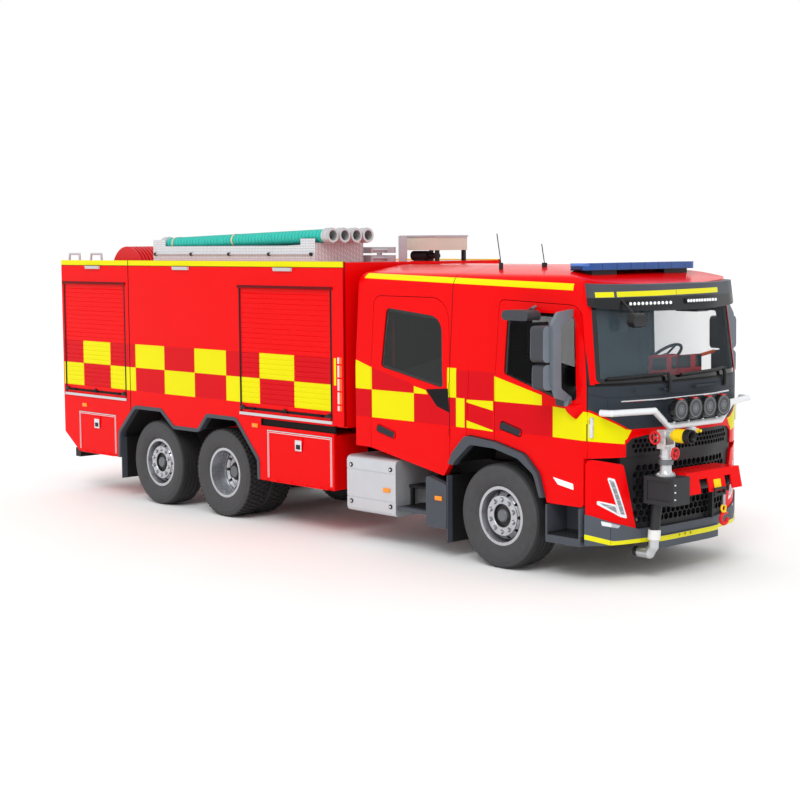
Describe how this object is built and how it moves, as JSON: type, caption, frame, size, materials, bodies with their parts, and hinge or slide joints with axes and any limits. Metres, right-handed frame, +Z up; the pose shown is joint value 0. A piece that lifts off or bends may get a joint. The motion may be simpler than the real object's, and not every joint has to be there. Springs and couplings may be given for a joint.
{
  "type": "fire truck",
  "caption": "Cab-over fire truck with a crew cab, roller-shutter locker body, drop-down lockers, front water monitor and winch, roof hoses and a twin-tyred drive axle.",
  "frame": {"origin": "middle of the footprint on the ground", "axes": "+X forward, +Y to the left of the truck, +Z up"},
  "size_m": [10.105, 3.0986, 3.479],
  "materials": {
    "tyre_rubber": "matt",
    "wheel_steel": "satin silver",
    "glass": "clear",
    "red_paint": "gloss",
    "grey_plastic": "grained",
    "black_plastic": "matt",
    "black_paint": "satin",
    "aluminium": "satin",
    "cast_iron": "painted",
    "seat_fabric": "woven",
    "lamp_glass": "clear",
    "blue_lens": "gloss",
    "teal_hose": "satin",
    "red_lens": "gloss",
    "monitor_alloy": "satin",
    "yellow_paint": "gloss"
  },
  "bodies": {
    "chassis": {"frame_rails": "black_paint", "cross_members": "black_paint", "engine_block": "cast_iron", "axle_beams": "black_paint", "cab_shell": "red_paint", "windscreen": "glass", "front_panel": "red_paint", "front_apron": "grey_plastic", "grilles": "black_plastic", "sun_visor": "grey_plastic", "bumper": "grey_plastic", "headlamp_panels": "red_paint", "headlamps": "lamp_glass", "entry_steps": "grey_plastic", "wheel_arches": "grey_plastic", "side_tanks": "aluminium", "lamp_bar": "black_paint", "winch_tray": "red_paint", "winch_gear": "black_paint", "roof_lights": "blue_lens", "cab_interior": "black_plastic", "seats": "seat_fabric", "body_core": "red_paint", "body_side_right": "red_paint", "body_side_left": "red_paint", "shutters": "aluminium", "roof_rack": "aluminium", "suction_hoses": "teal_hose", "rear_fittings": "red_lens"},
    "knuckle_right": {"knuckle_right": "black_paint"},
    "knuckle_left": {"knuckle_left": "black_paint"},
    "wheel_front_right": {"tyre_front_right": "tyre_rubber", "rim_front_right": "wheel_steel"},
    "wheel_front_left": {"tyre_front_left": "tyre_rubber", "rim_front_left": "wheel_steel"},
    "wheel_drive_right": {"tyres_drive_right": "tyre_rubber", "rims_drive_right": "wheel_steel"},
    "wheel_drive_left": {"tyres_drive_left": "tyre_rubber", "rims_drive_left": "wheel_steel"},
    "wheel_tag_right": {"tyre_tag_right": "tyre_rubber", "rim_tag_right": "wheel_steel"},
    "wheel_tag_left": {"tyre_tag_left": "tyre_rubber", "rim_tag_left": "wheel_steel"},
    "door_front_right": {"door_front_right": "red_paint", "glass_front_right": "glass", "mirrors_right": "grey_plastic"},
    "door_front_left": {"door_front_left": "red_paint", "glass_front_left": "glass", "mirrors_left": "grey_plastic"},
    "door_crew_right": {"door_crew_right": "red_paint", "glass_crew_right": "glass"},
    "door_crew_left": {"door_crew_left": "red_paint", "glass_crew_left": "glass"},
    "locker_rear_right": {"locker_rear_right": "red_paint"},
    "locker_front_right": {"locker_front_right": "red_paint"},
    "locker_rear_left": {"locker_rear_left": "red_paint"},
    "locker_front_left": {"locker_front_left": "red_paint"},
    "monitor_swivel": {"monitor_base": "monitor_alloy"},
    "monitor_barrel": {"monitor_nozzle": "yellow_paint"}
  },
  "joints": [
    {"name": "steer_left", "type": "hinge", "parent": "chassis", "child": "knuckle_left", "pos_m": [3.1525, 0.9125, 0.536], "axis": [0, 0, 1], "range_deg": [-40, 40]},
    {"name": "steer_right", "type": "hinge", "parent": "chassis", "child": "knuckle_right", "pos_m": [3.1525, -0.9125, 0.536], "axis": [0, 0, 1], "range_deg": [-40, 40]},
    {"name": "spin_front_left", "type": "hinge", "parent": "knuckle_left", "child": "wheel_front_left", "pos_m": [3.1525, 1.0525, 0.536], "axis": [0, 1, 0], "continuous": true},
    {"name": "spin_drive_left", "type": "hinge", "parent": "chassis", "child": "wheel_drive_left", "pos_m": [-1.4475, 0.914, 0.536], "axis": [0, 1, 0], "continuous": true},
    {"name": "spin_tag_left", "type": "hinge", "parent": "chassis", "child": "wheel_tag_left", "pos_m": [-2.8175, 1.0525, 0.536], "axis": [0, 1, 0], "continuous": true},
    {"name": "spin_front_right", "type": "hinge", "parent": "knuckle_right", "child": "wheel_front_right", "pos_m": [3.1525, -1.0525, 0.536], "axis": [0, 1, 0], "continuous": true},
    {"name": "spin_drive_right", "type": "hinge", "parent": "chassis", "child": "wheel_drive_right", "pos_m": [-1.4475, -0.914, 0.536], "axis": [0, 1, 0], "continuous": true},
    {"name": "spin_tag_right", "type": "hinge", "parent": "chassis", "child": "wheel_tag_right", "pos_m": [-2.8175, -1.0525, 0.536], "axis": [0, 1, 0], "continuous": true},
    {"name": "door_front_left_swing", "type": "hinge", "parent": "chassis", "child": "door_front_left", "pos_m": [4.2775, 1.186, 1.5], "axis": [0, 0, -1], "range_deg": [0, 70]},
    {"name": "door_crew_left_swing", "type": "hinge", "parent": "chassis", "child": "door_crew_left", "pos_m": [2.4205, 1.202, 1.6], "axis": [0, 0, -1], "range_deg": [0, 75]},
    {"name": "locker_rear_left_drop", "type": "hinge", "parent": "chassis", "child": "locker_rear_left", "pos_m": [-4.1575, 1.274, 0.541], "axis": [-1, 0, 0], "range_deg": [0, 90]},
    {"name": "locker_front_left_drop", "type": "hinge", "parent": "chassis", "child": "locker_front_left", "pos_m": [0.0325, 1.274, 0.541], "axis": [-1, 0, 0], "range_deg": [0, 90]},
    {"name": "door_front_right_swing", "type": "hinge", "parent": "chassis", "child": "door_front_right", "pos_m": [4.2775, -1.186, 1.5], "axis": [0, 0, 1], "range_deg": [0, 70]},
    {"name": "door_crew_right_swing", "type": "hinge", "parent": "chassis", "child": "door_crew_right", "pos_m": [2.4205, -1.202, 1.6], "axis": [0, 0, 1], "range_deg": [0, 75]},
    {"name": "locker_rear_right_drop", "type": "hinge", "parent": "chassis", "child": "locker_rear_right", "pos_m": [-4.1575, -1.274, 0.541], "axis": [1, 0, 0], "range_deg": [0, 90]},
    {"name": "locker_front_right_drop", "type": "hinge", "parent": "chassis", "child": "locker_front_right", "pos_m": [0.0325, -1.274, 0.541], "axis": [1, 0, 0], "range_deg": [0, 90]},
    {"name": "monitor_pan", "type": "hinge", "parent": "chassis", "child": "monitor_swivel", "pos_m": [4.7425, -0.56, 1.18], "axis": [0, 0, 1], "range_deg": [-75, 50]},
    {"name": "monitor_tilt", "type": "hinge", "parent": "monitor_swivel", "child": "monitor_barrel", "pos_m": [4.7425, -0.56, 1.44], "axis": [0, -1, 0], "range_deg": [-15, 40]}
  ],
  "couplings": [
    {"joint": "steer_right", "follows": "steer_left", "ratio": 1}
  ]
}
